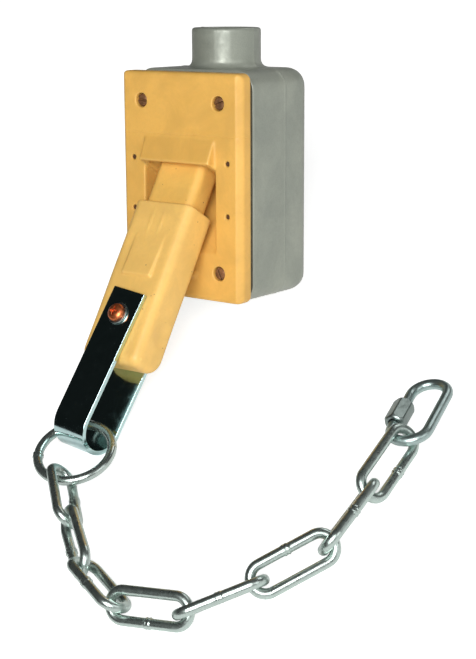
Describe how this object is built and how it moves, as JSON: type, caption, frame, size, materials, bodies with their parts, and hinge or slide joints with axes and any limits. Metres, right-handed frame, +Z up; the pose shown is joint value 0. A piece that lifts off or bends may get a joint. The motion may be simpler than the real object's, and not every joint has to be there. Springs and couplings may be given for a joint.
{
  "type": "pull-chain disconnect receptacle and plug",
  "caption": "Pull-out electrical disconnect: a cast box with hub, yellow cover and nozzle, a breakaway plug in a U strap, and a ring, chain and screw quick link.",
  "frame": {"origin": "middle of the whole object seen from above, on the floor it rests on", "axes": "+Z up; +X to the right across the cover; +Y from the chain towards the back of the leaning box"},
  "size_m": [0.2054, 0.2974, 0.1376],
  "materials": {
    "casting": "grey painted casting",
    "yellow": "moulded, slightly mottled",
    "gasket": "matt",
    "cover_screws": "bronze-coated",
    "zinc": "bright zinc plate",
    "steel": "plain zinc plate",
    "copper_screw": "copper-coloured plate",
    "brass": "bare",
    "insert": "black moulding",
    "green_screw": "green"
  },
  "bodies": {
    "housing": {"box_body": "casting", "ground_screw": "green_screw", "cover_gasket": "gasket", "cover_plate": "yellow", "receptacle_body": "yellow", "socket_contact_1": "brass", "terminal_screw_1": "brass", "socket_contact_2": "brass", "terminal_screw_2": "brass", "cover_screw_1": "cover_screws", "cover_screw_2": "cover_screws", "cover_screw_3": "cover_screws", "cover_screw_4": "cover_screws", "gasket_pin_1": "steel", "gasket_pin_2": "steel", "gasket_pin_3": "steel", "gasket_pin_4": "steel"},
    "plug": {"plug_sleeve": "yellow", "plug_insert": "insert", "shorting_bar": "brass", "strap_screw": "copper_screw", "strap_washer_front": "steel", "strap_washer_rear": "steel", "strap_nut": "steel", "plug_pin_1": "brass", "plug_pin_2": "brass"},
    "strap": {"pull_strap": "zinc"},
    "ring": {"pull_ring": "zinc"},
    "link_1": {"chain_link_1": "zinc"},
    "link_2": {"chain_link_2": "zinc"},
    "link_3": {"chain_link_3": "zinc"},
    "link_4": {"chain_link_4": "zinc"},
    "link_5": {"chain_link_5": "zinc"},
    "link_6": {"chain_link_6": "zinc"},
    "link_7": {"chain_link_7": "zinc"},
    "link_8": {"chain_link_8": "zinc"},
    "quick_link": {"quick_link_body": "zinc"},
    "quick_nut": {"quick_link_nut": "steel"}
  },
  "joints": [
    {"name": "plug_release", "type": "slide", "parent": "housing", "child": "plug", "axis": [0, -0.8765, -0.4813], "range_m": [0, 0.055]},
    {"name": "strap_swing", "type": "hinge", "parent": "plug", "child": "strap", "pos_m": [-0.0632, -0.00534, 0.0408], "axis": [0, 0.4813, -0.8765], "range_deg": [-25, 35]},
    {"name": "ring_swing", "type": "hinge", "parent": "strap", "child": "ring", "pos_m": [-0.06945, -0.05341, 0.0144], "axis": [0.9936, -0.0992, -0.0545], "range_deg": [-20, 25]},
    {"name": "link_1_swing", "type": "hinge", "parent": "ring", "child": "link_1", "pos_m": [-0.06445, -0.08686, 0.00833], "axis": [0.9566, 0.2402, -0.1652], "range_deg": [-7, 17]},
    {"name": "link_2_swing", "type": "hinge", "parent": "link_1", "child": "link_2", "pos_m": [-0.04046, -0.10874, 0.00828], "axis": [0.3007, 0.319, -0.8988], "range_deg": [-9, 11]},
    {"name": "link_3_swing", "type": "hinge", "parent": "link_2", "child": "link_3", "pos_m": [-0.01428, -0.13044, 0.00765], "axis": [0.3888, 0.4411, 0.8089], "range_deg": [-25, 25]},
    {"name": "link_4_swing", "type": "hinge", "parent": "link_3", "child": "link_4", "pos_m": [0.01721, -0.14359, 0.00748], "axis": [0.2682, 0.6131, -0.7431], "range_deg": [-25, 25]},
    {"name": "link_5_swing", "type": "hinge", "parent": "link_4", "child": "link_5", "pos_m": [0.05078, -0.13537, 0.00717], "axis": [-0.1238, 0.6707, 0.7313], "range_deg": [-25, 25]},
    {"name": "link_6_swing", "type": "hinge", "parent": "link_5", "child": "link_6", "pos_m": [0.07356, -0.10938, 0.00763], "axis": [-0.5029, 0.4972, -0.7071], "range_deg": [-25, 25]},
    {"name": "link_7_swing", "type": "hinge", "parent": "link_6", "child": "link_7", "pos_m": [0.09218, -0.08087, 0.0076], "axis": [-0.5439, 0.3669, 0.7547], "range_deg": [-25, 25]},
    {"name": "link_8_swing", "type": "hinge", "parent": "link_7", "child": "link_8", "pos_m": [0.09249, -0.04643, 0.00803], "axis": [-0.6547, 0.0432, -0.7547], "range_deg": [-25, 25]},
    {"name": "quick_link_swing", "type": "hinge", "parent": "link_8", "child": "quick_link", "pos_m": [0.09234, -0.01243, 0.008], "axis": [-0.5446, 0, 0.8387], "range_deg": [-7, 5]},
    {"name": "quick_nut_travel", "type": "slide", "parent": "quick_link", "child": "quick_nut", "axis": [-0.1725, 0.9782, -0.1158], "range_m": [0, 0.008]}
  ]
}
